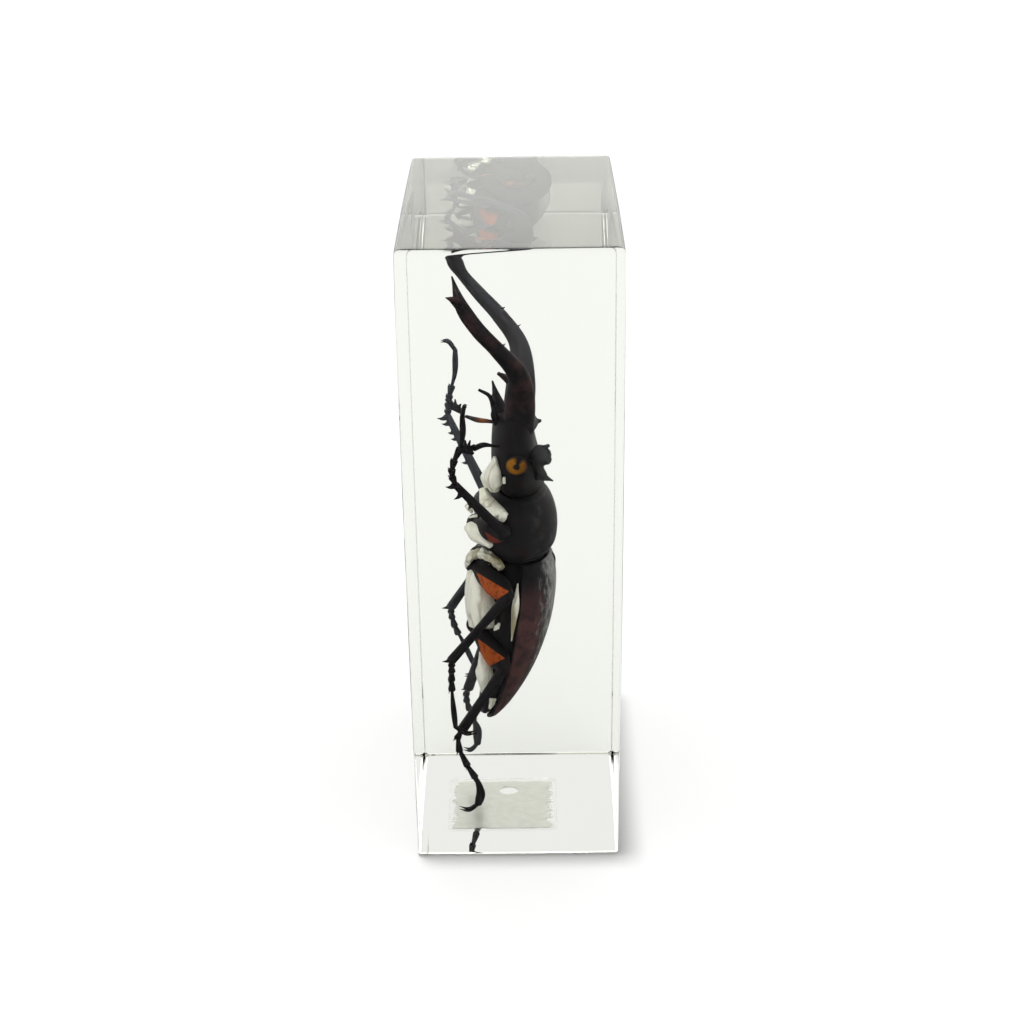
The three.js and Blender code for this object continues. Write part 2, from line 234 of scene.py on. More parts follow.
class Shape:
    """The parts of one mesh, in millimetres, with two values on each point.

    flow: how far along its part a point lies, and where round the section; patch: a share from 0
    to 1 of a second colour.
    """

    def __init__(self):
        self.points, self.faces, self.flow, self.patch = [], [], [], []
        self.count = 0

    def add(self, points, faces, flow, patch=None):
        flat = np.asarray(points, float).reshape(-1, 3)
        self.points.append(flat)
        self.flow.append(flow)
        self.patch.append(np.zeros(len(flat)) if patch is None else patch)
        for block in faces:
            self.faces += (block + self.count).tolist()
        self.count += len(flat)

    def tube(self, rings, poles, share, turn, patch=None):
        """A closed skin from rings of points, shut at both ends by fans to the two poles."""
        rows, sides = rings.shape[:2]
        grid = np.arange(rows * sides).reshape(rows, sides)
        right = np.roll(grid, -1, axis=1)
        first = np.column_stack([np.full(sides, rows * sides), right[0], grid[0]])
        final = np.column_stack([np.full(sides, rows * sides + 1), grid[-1], right[-1]])
        points = np.vstack([rings.reshape(-1, 3), poles])
        flow = np.vstack([flow_of(share, turn), [[0, 0, 0], [1, 0, 0]]])
        shown = 0 if patch is None else patch(share[:, None], rings)
        shown = np.append(np.broadcast_to(shown, (rows, sides)).reshape(-1), [0, 0])
        self.add(points, [quads_between(grid, right), first, final], flow, shown)

    def mesh(self, name, finish):
        """The parts as one smooth mesh object at the origin."""
        mesh = bpy.data.meshes.new(name)
        mesh.from_pydata((np.vstack(self.points) * MM).tolist(), [], self.faces)
        mesh.materials.append(finish)
        mesh.polygons.foreach_set("use_smooth", [True] * len(self.faces))
        flow = mesh.attributes.new("flow", "FLOAT_VECTOR", "POINT")
        flow.data.foreach_set("vector", np.vstack(self.flow).reshape(-1))
        patch = mesh.attributes.new("patch", "FLOAT", "POINT")
        patch.data.foreach_set("value", np.concatenate(self.patch))
        mesh.update()
        return put_in_scene(name, mesh)


DOME = 0.6  # a domed end's height as a share of its half-width
DOME_RINGS = np.radians([12, 32, 52, 74])  # a domed end's rings, as angles from its tip
STEEP = 0.8  # the cosine to the back above which a section is set by the upward way instead
NEARBY = 1e-3  # the share of a line, to both sides of a point, that gives its direction there


def limb(shape, line, half, flat=1.0, sides=16, steps=20, form=None, patch=None, end=DOME):
    """An oval section carried along a smooth line, with domed ends.

    half: half-widths at the line's points; flat: the section's height towards the back (or
    upward, on a line that runs towards the back) as a share of its width; form: a function of
    the share along and the angle round that widens the section; end: the height of the domed
    ends as a share of their half-width.
    """
    path, half_at = curve(line), smooth(half)
    swell, push = np.sin(DOME_RINGS), end * np.cos(DOME_RINGS)
    share = np.concatenate([0 * swell, np.linspace(0, 1, steps), 0 * swell + 1])
    swell = np.concatenate([swell, np.ones(steps), swell[::-1]])
    push = np.concatenate([-push, np.zeros(steps), push[::-1]])
    along = unit(path(np.clip(share + NEARBY, 0, 1)) - path(np.clip(share - NEARBY, 0, 1)))
    width = half_at(share)
    middle = path(share) + along * (push * width)[:, None]
    towards = UPWARD if abs(unit(np.subtract(line[-1], line[0])) @ BACK) > STEEP else BACK
    up = unit(towards - along * (along @ towards)[:, None])
    sideways = np.cross(along, up)
    turn = around(sides)
    reach = (width * swell)[:, None] * (1 if form is None else form(share[:, None], turn))
    height = reach * flat * np.cos(turn)
    breadth = reach * np.sin(turn)
    rings = middle[:, None] + up[:, None] * height[..., None] + sideways[:, None] * breadth[..., None]
    ends = path(np.array([0.0, 1.0])) + np.array([[-end], [end]]) * along[[0, -1]] * width[[0, -1], None]
    shape.tube(rings, ends, share, turn, patch)


THORN_TAPER = np.array([1, 0.55, 0.08])


def thorn(shape, root, tip, half, bend=(0, 0, 0), sides=8):
    """A spine that narrows to a point, bent at its middle."""
    middle = np.add(root, tip) / 2 + bend
    limb(shape, [root, middle, tip], half * THORN_TAPER, sides=sides, steps=7)


def ball(shape, middle, half, relief=None, sides=32, rows=16):
    """An oval ball, as rings from its lower pole to its upper one."""
    middle, half = np.asarray(middle, float), np.asarray(half, float)
    lift = np.linspace(-math.pi / 2, math.pi / 2, rows + 2)[1:-1, None]
    turn = around(sides)
    level = np.cos(lift)
    ways = np.stack([level * np.cos(turn), level * np.sin(turn), np.sin(lift) * np.ones(sides)], axis=-1)
    rings = middle + ways * half * (1 if relief is None else relief(ways)[..., None])
    poles = middle + np.array([-UPWARD, UPWARD]) * half
    shape.tube(rings, poles, np.linspace(0, 1, rows), turn)


def ovals(table, share, turn, lift, narrow=1):
    """Points on the oval sections of a body part, at shares of its height and angles from the back.

    The table's rows: z: height; back, belly: x of the outline; wide: half-width; side: x of the
    widest place. lift: how far the skin is raised; narrow: the share that a section is drawn in to.
    """
    z, back, belly, wide, side = (smooth(table[row])(share)[:, None] for row in table)
    deep = np.where(np.cos(turn) > 0, back - side, side - belly) + lift
    across = side + deep * np.cos(turn) * narrow
    return np.stack([across, (wide + lift) * np.sin(turn) * narrow, z * np.ones_like(across)], axis=-1)


def torso(shape, table, rounding, relief, rows, sides=72):
    """A body part: oval sections stacked along Z from its table.

    The rows lie closer near the ends, where the edge is rounded off by a quarter circle; relief is
    a function of height and angle that lifts the skin.
    """
    share, turn = spread(rows), around(sides)
    height = smooth(table["z"])(share)[:, None]
    inside = np.minimum(np.minimum(height - height[0], height[-1] - height), rounding)
    inset = rounding - np.sqrt(rounding ** 2 - (rounding - inside) ** 2)
    rings = ovals(table, share, turn, relief(height, turn) - inset)
    poles = np.array([[table["side"][end], 0, table["z"][end]] for end in (0, -1)])
    shape.tube(rings, poles, share, turn)


# ---- finishes


class Finish:
    """A material being made; its methods add one node each and give that node's output."""

    def __init__(self, name, **sockets):
        self.made = bpy.data.materials.new(name)
        self.made.use_nodes = True
        self.tree = self.made.node_tree
        self.shader = self.tree.nodes["Principled BSDF"]
        for socket, value in sockets.items():
            self.set(self.shader, socket.replace("_", " "), value)

    def set(self, node, socket, value):
        """Joins an output to the socket, or gives the socket a plain value."""
        place = node.inputs[socket]
        if isinstance(value, bpy.types.NodeSocket):
            self.tree.links.new(value, place)
        elif place.type == "RGBA" and len(value) == 3:
            place.default_value = (*value, 1)
        else:
            place.default_value = value

    def node(self, kind, output=0, settings=None, **sockets):
        made = self.tree.nodes.new("ShaderNode" + kind)
        for setting, value in (settings or {}).items():
            setattr(made, setting, value)
        for socket, value in sockets.items():
            self.set(made, socket.replace("_", " "), value)
        return made.outputs[output]

    def place(self, stretch=(1, 1, 1)):
        """Object coordinates, stretched."""
        spot = self.node("TexCoord", "Object")
        return self.node("Mapping", Vector=spot, Scale=stretch)

    def noise(self, scale, detail=4.0, roughness=0.55, stretch=(1, 1, 1)):
        return self.node("TexNoise", "Fac", Vector=self.place(stretch), Scale=scale, Detail=detail,
                         Roughness=roughness)

    def attribute(self, name, output="Fac"):
        return self.node("Attribute", output, {"attribute_name": name})

    def part(self, vector, axis):
        return self.node("SeparateXYZ", axis, Vector=vector)

    def maths(self, operation, first, second=0.0):
        made = self.tree.nodes.new("ShaderNodeMath")
        made.operation = operation
        self.set(made, 0, first)
        self.set(made, 1, second)
        return made.outputs[0]

    def times(self, first, second):
        return self.maths("MULTIPLY", first, second)

    def plus(self, first, second):
        return self.maths("ADD", first, second)

    def away(self, value, middle):
        """How far the value lies from the middle, to either side."""
        return self.maths("ABSOLUTE", self.maths("SUBTRACT", value, middle))

    def squares(self, first, second):
        return self.plus(self.maths("POWER", first, 2.0), self.maths("POWER", second, 2.0))

    def mottle(self, low, high, *noise):
        """Noise, eased to 0 below low and to 1 above high."""
        return self.between(self.noise(*noise), low, high)

    def at(self, axis):
        """Where a point lies along an axis of the block, in metres."""
        return self.part(self.node("TexCoord", "Object"), axis)

    def between(self, value, low, high, start=0.0, end=1.0):
        """The value's way from low to high, eased, as start to end."""
        return self.node("MapRange", 0, {"interpolation_type": "SMOOTHSTEP"}, Value=value, From_Min=low,
                         From_Max=high, To_Min=start, To_Max=end)

    def between_mm(self, value, low, high):
        return self.between(value, low * MM, high * MM)

    def within(self, value, start, full, fade, end):
        """1 from full to fade, eased to 0 at start and at end."""
        return self.times(self.between(value, start, full), self.between(value, end, fade))

    def mix(self, share, first, second):
        made = self.tree.nodes.new("ShaderNodeMix")
        made.data_type = "RGBA"
        made.clamp_factor = True
        self.set(made, 0, share)
        self.set(made, 6, first)
        self.set(made, 7, second)
        return made.outputs[2]

    def bump(self, height, distance, strength=1.0):
        """Fine relief that many millimetres high."""
        self.set(self.shader, "Normal", self.node("Bump", Height=height, Distance=distance * MM,
                                                  Strength=strength))

    def colour(self, value):
        self.set(self.shader, "Base Color", value)
        return self.made


RESIN_IOR = 1.5
RESIN_TINT = (0.897, 0.902, 0.874)
RESIN_DENSITY = 28.0  # per metre


def resin_finish():
    """Clear resin: it lets light through, with faint long ripples, and soaks up a little blue."""
    resin = Finish("clear_resin", Transmission_Weight=1.0, IOR=RESIN_IOR, Roughness=0.0,
                   Specular_Tint=(0, 0, 0))
    resin.bump(resin.noise(90, 2.0, 0.5, (1, 1, 0.25)), 0.02, 0.3)
    output = resin.tree.nodes["Material Output"]
    soak = resin.node("VolumeAbsorption", Color=RESIN_TINT, Density=RESIN_DENSITY)
    resin.set(output, "Volume", soak)
    return resin.colour((1, 1, 1))


BLACK = (0.0142, 0.0135, 0.0155)
# painted haze: these stand for light that the resin scatters over the beetle's far parts
HAZED_BLACK = (0.062, 0.061, 0.068)
PAINTED_HAZE = (0.085, 0.092, 0.108)
BROWN = (0.019, 0.0125, 0.012)
# partly dust, partly a painted sheen on the back side
DUST_AND_SHEEN = (0.062, 0.062, 0.063)
MAROON = (0.088, 0.043, 0.042)
MAHOGANY = (0.050, 0.027, 0.028)
ORANGE = (0.42, 0.088, 0.018)
BURNT_ORANGE = (0.16, 0.03, 0.012)
RUSSET = (0.19, 0.044, 0.032)
# painted reflection of thin air films on the wing cases
PAINTED_SILVER_SHEEN = (0.36, 0.36, 0.35)
RUSSET_FROM = 52.0  # mm above the base, where the front legs' duller patches begin
HAZE_GREYING_SPAN = (-10, 14)  # mm of Y over which painted haze, standing for light scattered in the resin, greys a colour, and then pales it
HAZE_PALING_SPAN = (10, 21)
SHELL_SPECULAR = 0.05
SHELL_GLOSS = {"Roughness": 0.5, "Specular_IOR_Level": SHELL_SPECULAR}


def painted_resin_haze(finish, colour, far_colour):
    """The colour, greyer on the beetle's right side, which more resin veils, and paler far out: painted
    haze for light that the resin scatters.
    """
    side = finish.at("Y")
    half_hazed = finish.mix(finish.between_mm(side, *HAZE_GREYING_SPAN), colour, far_colour)
    return finish.mix(finish.between_mm(side, *HAZE_PALING_SPAN), half_hazed, PAINTED_HAZE)


def shell_finish():
    """Black shell: fine pits, brown where thin, grey on the back crests that is partly dust and partly a
    painted sheen, an orange patch where its value says.
    """
    shell = Finish("black_shell", **SHELL_GLOSS)
    tone = shell.mix(shell.mottle(0.45, 0.75, 260), BLACK, BROWN)
    height = shell.at("Z")
    # grey on the back side, mottled, and solid over the head: partly dust, partly a painted sheen where
    # the back is seen edge-on
    dust_and_sheen = shell.mottle(0.48, 0.72, 320, 6.0, 0.7)
    dust_and_sheen = shell.maths("MAXIMUM", dust_and_sheen, shell.between_mm(height, 64.5, 67))
    back = shell.between_mm(shell.at("X"), 1.5, 6)
    tone = shell.mix(shell.times(dust_and_sheen, back), tone, DUST_AND_SHEEN)
    tone = painted_resin_haze(shell, tone, HAZED_BLACK)
    bright = shell.mix(shell.between_mm(height, RUSSET_FROM, RUSSET_FROM + 2), ORANGE, RUSSET)
    mottled = shell.mix(shell.mottle(0.45, 0.75, 1400), bright, BURNT_ORANGE)
    ragged = shell.plus(shell.attribute("patch"), shell.times(shell.noise(900), 0.3))
    shown = shell.between(ragged, 0.55, 0.72)
    shell.bump(shell.noise(1500, 3.0), 0.02, 0.5)
    return shell.colour(shell.mix(shown, tone, mottled))


def wing_case_finish():
    """Wing cases: maroon in the middle, black at the rim, and a silvery mottling near the seam: thin air
    films, painted as their reflection.
    """
    case = Finish("wing_case", **SHELL_GLOSS)
    flow = case.attribute("flow", "Vector")
    share, over = case.part(flow, "X"), case.part(flow, "Y")
    middle = case.within(over, -0.25, 0.1, 0.5, 0.88)
    length = case.within(share, 0.02, 0.2, 0.62, 0.9)
    stain = case.times(case.times(middle, length), case.between(case.noise(500, 5.0), 0.3, 0.6, 0.35, 1.0))
    tone = painted_resin_haze(case, case.mix(stain, BLACK, MAROON), HAZED_BLACK)
    # painted reflection: a silvery sheen where thin air films would shine, clouded, stronger near the seam
    # on the upper part
    cloudy = case.noise(800, 8.0, 0.75, (1, 1, 0.6))
    edge = case.between(over, 0.25, 0.98)
    upper = case.between(share, 0.3, 0.8, 0.21, 0.40)
    painted_sheen = case.between(case.plus(cloudy, case.times(edge, upper)), 0.64, 1.0)
    case.bump(case.noise(1500, 4.0), 0.03, 0.6)
    return case.colour(case.mix(painted_sheen, tone, PAINTED_SILVER_SHEEN))


def jaw_finish():
    """Jaws: near black, mahogany where light gets through them."""
    jaw = Finish("jaw_shell", **SHELL_GLOSS)
    tone = jaw.mix(jaw.mottle(0.4, 0.7, 240, 3.0), BLACK, MAHOGANY)
    jaw.bump(jaw.noise(1300, 4.0, 0.6, (1, 1, 0.4)), 0.02, 0.5)
    return jaw.colour(painted_resin_haze(jaw, tone, HAZED_BLACK))


RING_MIDDLE = (0.55, 70.4)
RING_REACH = 1.1
RING_HALF = 0.72
RING_FADE = 0.4
RING_FLAT = 0.86
RING_GAP = 1.25  # where the ring opens, in radians from the back upward
# the ring's gold in painted shade, and fully lit
PAINTED_SHADE_GOLD = (0.06, 0.022, 0.006)
GOLD = (0.36, 0.15, 0.018)


def eye_finish():
    """Eyes: near black with a flattened golden ring that opens upward, its gold lighter towards the belly
    side as painted light.
    """
    eye = Finish("eye", Roughness=0.45, Specular_IOR_Level=SHELL_SPECULAR)
    across, up = (eye.maths("SUBTRACT", eye.at(axis), spot * MM) for axis, spot in zip("XZ", RING_MIDDLE))
    up = eye.maths("DIVIDE", up, RING_FLAT)
    offset = eye.away(eye.maths("SQRT", eye.squares(across, up)), RING_REACH * MM)
    ring = eye.between_mm(offset, RING_HALF, RING_HALF - RING_FADE)
    gap = eye.between(eye.away(eye.maths("ARCTAN2", up, across), RING_GAP), 0.15, 0.75)
    grain = eye.between(eye.noise(3000, 2.0), 0.2, 0.8, 0.7, 1.1)
    # painted light: the gold ring lighter towards the belly side, darker gold towards the back
    painted_light_side = eye.between_mm(across, 1.6, -1.2)
    painted_lit_share = eye.times(grain, eye.between(painted_light_side, 0.0, 1.0, 0.45, 1.0))
    gold = eye.mix(painted_lit_share, PAINTED_SHADE_GOLD, GOLD)
    eye.bump(eye.noise(5000, 1.0), 0.01, 0.4)
    return eye.colour(eye.mix(eye.times(ring, gap), BLACK, gold))


FEELER_BLACK = (0.0142, 0.0135, 0.0150)
FEELER_BROWN = (0.022, 0.017, 0.016)
# painted haze over the far feeler
HAZED_FEELER = (0.05, 0.05, 0.055)
# partly the joint's colour, partly a painted highlight
FEELER_ORANGE_AND_HIGHLIGHT = (0.26, 0.10, 0.045)


def feeler_finish():
    """Feelers: dark brown, orange at the joints: partly their colour, partly a painted highlight."""
    feeler = Finish("feeler", **SHELL_GLOSS)
    tone = feeler.mix(feeler.mottle(0.4, 0.7, 700), FEELER_BLACK, FEELER_BROWN)
    tone = painted_resin_haze(feeler, tone, HAZED_FEELER)
    return feeler.colour(feeler.mix(feeler.attribute("patch"), tone, FEELER_ORANGE_AND_HIGHLIGHT))


# painted light on the air pockets: the cream stands for their reflection of the bright surroundings;
# olive, brown and grey are painted shade
PAINTED_REFLECTION_CREAM = (0.97, 0.96, 0.84)
PAINTED_SHADE_OLIVE = (0.42, 0.39, 0.25)
PAINTED_CREASE_BROWN = (0.34, 0.29, 0.17)
PAINTED_RIM_GREY = (0.25, 0.25, 0.23)
CREASE_SHADE = {"wide": 0.05, "plain": 0.35, "olive": 0.5}  # painted crease shade: width; depth, and what the patch value adds


def air_finish():
    """Air caught in the resin, its shine painted in: silvery cream for its reflection of the bright
    surroundings, painted olive shade and brown crease shade where the patch value says, painted grey shade
    at the rims.
    """
    air = Finish("trapped_air", Metallic=0.15, Roughness=0.35, Specular_IOR_Level=0.4)
    crease = air.noise(420, 5.0, 0.6, (1, 1, 0.4))
    shade = air.plus(air.times(air.attribute("patch"), 0.42), crease)
    # painted reflection in cream, with painted olive shade where the patch value is high
    tone = air.mix(air.between(shade, 0.58, 1.0), PAINTED_REFLECTION_CREAM, PAINTED_SHADE_OLIVE)
    # painted shade: brown along thin crumpled creases
    crease_shade_lines = air.between(air.away(air.noise(220, 3.0, 0.5, (1, 1, 0.3)), 0.5), CREASE_SHADE["wide"], 0.0)
    deep = air.plus(air.times(air.attribute("patch"), CREASE_SHADE["olive"]), CREASE_SHADE["plain"])
    tone = air.mix(air.times(crease_shade_lines, deep), tone, PAINTED_CREASE_BROWN)
    # painted shade: grey at the rims, where the surface turns away
    slant = air.node("LayerWeight", "Facing", Blend=0.5)
    tone = air.mix(air.times(air.between(slant, 0.75, 0.98), 0.4), tone, PAINTED_RIM_GREY)
    air.bump(crease, 0.35, 0.6)
    return air.colour(tone)


GREY_ENDS = (-12.0, -11.0, 5.2, 6.2)  # mm of X: where the brushed grey starts, is full, fades, ends
GREY_EDGES = (-13.9, -13.2, 11.2, 11.9)  # the same along Y
STICKER_HOLE = {"middle": (-1.7, 6.4), "half": (1.7, 1.9)}
GREY_COVER = 0.5
RIM_COVER = 0.08
GREY_FILM = (0.88, 0.89, 0.82)
PALE_FILM = (0.98, 0.99, 0.93)


def sticker_finish():
    """The sticker: a clear film, brushed with grey that ends raggedly, and an oval hole in the grey."""
    film = Finish("grey_sticker", Metallic=0.9, Roughness=0.28, Specular_IOR_Level=0.2)
    x, y = film.at("X"), film.at("Y")
    brush = film.noise(420, 5.0, 0.7, (0.18, 1, 1))
    ragged = film.plus(x, film.times(film.maths("SUBTRACT", brush, 0.5), 5.0 * MM))
    swayed = film.plus(y, film.times(film.maths("SUBTRACT", film.noise(260, 3.0), 0.5), 1.6 * MM))
    ends = film.within(ragged, *(edge * MM for edge in GREY_ENDS))
    edges = film.within(swayed, *(edge * MM for edge in GREY_EDGES))
    from_hole = [film.maths("DIVIDE", film.maths("SUBTRACT", value, middle * MM), half * MM)
                 for value, middle, half in zip((x, y), STICKER_HOLE["middle"], STICKER_HOLE["half"])]
    whole = film.between(film.squares(*from_hole), 0.8, 1.15)
    grey = film.times(film.times(ends, edges), whole)
    rim = film.between(film.attribute("patch"), 0.3, 0.7)
    cover = film.maths("MAXIMUM", film.times(grey, GREY_COVER), film.times(rim, RIM_COVER))
    film.set(film.shader, "Alpha", cover)
    cloud = film.mix(film.mottle(0.3, 0.7, 500, 5.0), GREY_FILM, PALE_FILM)
    specks = film.mottle(0.64, 0.70, 620, 2.0)
    return film.colour(film.mix(specks, cloud, (1, 1, 1)))


def floor_finish():
    """A pale matt table top, a little uneven."""
    table = Finish("pale_floor", Roughness=0.9, Specular_IOR_Level=0.0)
    pale = [FLOOR_SHADE * share for share in (0.99, 1.0, 0.985)]
    return table.colour(table.mix(table.noise(3, 2.0), pale, [FLOOR_SHADE] * 3))


# ---- the block and its sticker

UPRIGHT_EDGE = 0.3  # rounding of the four upright edges
BLOCK_EDGE = 0.8  # rounding of the edges round the top and the base
BLOCK_BULGE = 0.25  # how far each side swells at its middle
BLOCK_STEPS = {"across": 28, "corner": 6, "upright": 34, "edge": 7, "end": 10}
END_SHRINK = 0.98  # the widest ring inside the top and the base, as a share of their outline
STICKER = {"thick": 0.1, "lift": 0.02, "corner": 1.5, "rim": 0.5}
STICKER_STEPS = {"across": 12, "corner": 6}


def rounded_outline(half, corner, steps):
    """Once round a rectangle with rounded corners: straight sides joined by quarter circles."""
    bend = np.linspace(0, math.pi / 2, steps["corner"] + 1)
    run = spread(steps["across"] + 1)[1:-1, None]
    arcs = []
    for quarter, flip in enumerate(([1, 1], [-1, 1], [-1, -1], [1, -1])):
        centre = np.array(flip) * (half[:2] - corner)
        angle = bend + quarter * math.pi / 2
        arcs.append(centre + corner * np.column_stack([np.cos(angle), np.sin(angle)]))
    sides = [arc[-1] + (following[0] - arc[-1]) * run for arc, following in zip(arcs, arcs[1:] + arcs[:1])]
    return np.vstack([spots for pair in zip(arcs, sides) for spots in pair])


def half_and_middle(box):
    """A box's half-lengths and its middle, in millimetres."""
    low, high = (np.array(corner) / MM for corner in box)
    return (high - low) / 2, (high + low) / 2


def block_shape():
    """The block: a rounded outline carried up Z, drawn in by quarter circles at both ends.

    Every side swells a little: a point's place across shrinks with the squares of its shares of
    the other two half-lengths.
    """
    half, middle = half_and_middle(cad_bounds)
    outline = rounded_outline(half, UPRIGHT_EDGE, BLOCK_STEPS)
    bend = np.linspace(math.pi / 2, 0, BLOCK_STEPS["edge"])
    shrink = spread(BLOCK_STEPS["end"])[1:-1] * END_SHRINK
    flat = np.ones(len(shrink))
    rim = np.concatenate([flat * half[2], half[2] - BLOCK_EDGE + BLOCK_EDGE * np.sin(bend)])
    inset = np.concatenate([flat * BLOCK_EDGE, BLOCK_EDGE * (1 - np.cos(bend))])
    run = (spread(BLOCK_STEPS["upright"])[1:-1] * 2 - 1) * (half[2] - BLOCK_EDGE)
    height = np.concatenate([-rim, run, rim[::-1]])
    drawn = np.concatenate([inset, np.zeros(len(run)), inset[::-1]])
    inner = np.concatenate([shrink, np.ones(len(height) - 2 * len(shrink)), shrink[::-1]])
    rings = np.stack([
        outline[None, :, 0] * ((half[0] - drawn) / half[0] * inner)[:, None],
        outline[None, :, 1] * ((half[1] - drawn) / half[1] * inner)[:, None],
        height[:, None] * np.ones(len(outline)),
    ], axis=-1)
    share = (rings / half) ** 2
    swell = BLOCK_BULGE / half / 2
    rings[..., 0] *= 1 - swell[0] * (share[..., 1] + share[..., 2])
    rings[..., 1] *= 1 - swell[1] * (share[..., 0] + share[..., 2])
    shape = Shape()
    poles = np.array([[0, 0, -half[2]], [0, 0, half[2]]])
    turn = np.arctan2(outline[:, 1], outline[:, 0])
    shape.tube(rings + middle, poles + middle, np.linspace(0, 1, len(height)), turn)
    return shape


def sticker_shape():
    """The sticker: a thin plate with rounded corners, in the block's base, where its CAD node is."""
    half, middle = half_and_middle(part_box("base_sticker"))
    outline = rounded_outline(half, STICKER["corner"], STICKER_STEPS)
    base = middle[2] - half[2]
    bottom, top = base + STICKER["lift"], base + STICKER["thick"]
    inner = 1 - STICKER["rim"] / half[0]
    levels = [(inner, bottom), (1, bottom), (1, top), (inner, top)]
    rings = np.array([np.column_stack([outline * scale, np.full(len(outline), level)])
                      for scale, level in levels])
    rings[..., :2] += middle[:2]
    poles = np.array([[*middle[:2], bottom], [*middle[:2], top]])
    shape = Shape()
    rim = np.array([0, 1, 1, 0])[:, None]
    shape.tube(rings, poles, np.linspace(0, 1, 4), around(len(outline)), lambda share, spots: rim)
    return shape


# ---- the body

WING_CASES = {
    "z": [19, 21, 25, 31, 38, 44.5, 49, 51.6],
    "back": [-4.6, -2.4, 0.6, 3.7, 6, 7, 6.9, 6.1],
    "belly": [-5.6, -4.8, -3.6, -2.1, -0.8, 0, 0.4, 0.6],
    "wide": [3.4, 6.4, 9.2, 11.6, 12.8, 13.1, 12.1, 10.6],
    "side": [-5.2, -4.1, -2.7, -1.2, 0.1, 0.9, 1.2, 1.3],
}
HIND_BODY = {
    "z": [19.4, 21.5, 25.5, 31, 38, 45, 52.2],
    "back": [-5.4, -3.8, -0.8, 2.4, 4.9, 5.7, 4.9],
    "belly": [-6.4, -6.7, -6.4, -6.1, -5.8, -5.6, -4.6],
    "wide": [2, 5.2, 8.4, 10.4, 11.6, 11.6, 8.6],
    "side": [-5.8, -5, -3.6, -2, -1, -0.6, -0.5],
}
PRONOTUM = {
    "z": [51.9, 54, 57.5, 61, 63.6],
    "back": [5.9, 7, 7.3, 6.5, 5],
    "belly": [-4.4, -5.5, -5.9, -5.2, -3.4],
    "wide": [10.4, 12.3, 12.7, 11.8, 9.8],
    "side": [0.4, 0.4, 0.3, 0.3, 0.4],
}
HEAD = {
    "z": [63.2, 66, 69.5, 73, 76, 77.4],
    "back": [4.6, 5.2, 4.7, 4, 3.6, 2.6],
    "belly": [-2.2, -3.4, -3.9, -3.7, -3.1, -2.2],
    "wide": [9.2, 11.4, 12.3, 11, 9.2, 7.6],
    "side": [0.6, 0.6, 0.5, 0.4, 0.3, 0.3],
}
SCUTELLUM = {"line": [[4.4, 0, 50.8], [5.9, 0, 49.8], [6.6, 0, 47.4]], "half": [1.9, 1.7, 0.4]}
BELLY_PLATES = {"start": 20.5, "end": 42.5, "count": 5, "step": 0.35}
KEEL = {"half": 0.09, "from": 43, "full": 45, "deep": 0.25}  # a groove along the breast
SUTURE = {"at": 43.4, "wave": 1.2, "half": 0.35, "deep": 0.3}  # a groove across it


def mirrored(spots):
    return (np.asarray(spots, float) * [1, -1, 1]).tolist()


SIDES = (("left", lambda spots: spots), ("right", mirrored))


def hind_body_shape():
    """Middle and hind thorax with the abdomen, its plates stepped below, and the scutellum."""
    def relief(height, turn):
        below = np.clip(-np.cos(turn) * 1.6, 0, 1)
        start, end = BELLY_PLATES["start"], BELLY_PLATES["end"]
        place = (height - start) / (end - start) * BELLY_PLATES["count"]
        slope = np.mod(place, 1.0)
        plated = np.where((place > 0) & (place < BELLY_PLATES["count"]), slope ** 3, 0)
        rise = np.clip((height - KEEL["from"]) / (KEEL["full"] - KEEL["from"]), 0, 1)
        keel = hump(turn, math.pi, KEEL["half"]) * rise
        suture = hump(height, SUTURE["at"] - SUTURE["wave"] * np.cos(turn * 2), SUTURE["half"])
        return -below * (BELLY_PLATES["step"] * plated + KEEL["deep"] * keel + SUTURE["deep"] * suture)

    shape = Shape()
    torso(shape, HIND_BODY, rounding=1.0, relief=relief, rows=130)
    limb(shape, **SCUTELLUM, flat=0.6)
    return shape


SHIELD_GROOVES = (52.9, 62.6)
SHIELD_MIDDLE = 57.5


def pronotum_shape():
    """The shield of the front body: a ridge along each side, a groove at each end and down the middle."""
    def relief(height, turn):
        beside = hump(np.abs(np.sin(turn)), 1, 0.05)
        ends = sum(hump(height, level, 0.3) for level in SHIELD_GROOVES)
        line = hump(wrapped(turn), 0, 0.05) * hump(height, SHIELD_MIDDLE, 4)
        above = np.clip(np.cos(turn) * 3, 0, 1)
        return 0.35 * beside - 0.18 * ends * above - 0.12 * line

    shape = Shape()
    torso(shape, PRONOTUM, rounding=0.7, relief=relief, rows=90, sides=96)
    return shape


WING_WRAP = math.radians(128)  # how far round from the back a wing case reaches
WING_RIM = {"at": math.radians(116), "half": 0.12, "high": 0.16}
WING_SEAM = {"gap": 0.06, "at": 0.05, "half": 0.035, "deep": 0.12}
WING_RIBS = {"high": 0.035, "count": 16}
WING_TAIL = {"long": 1.6, "end": 0.45}  # mm that are rounded off; width left at the tip
WING_THICK = 0.45
WING_ROWS = 110
WING_COLUMNS = 56


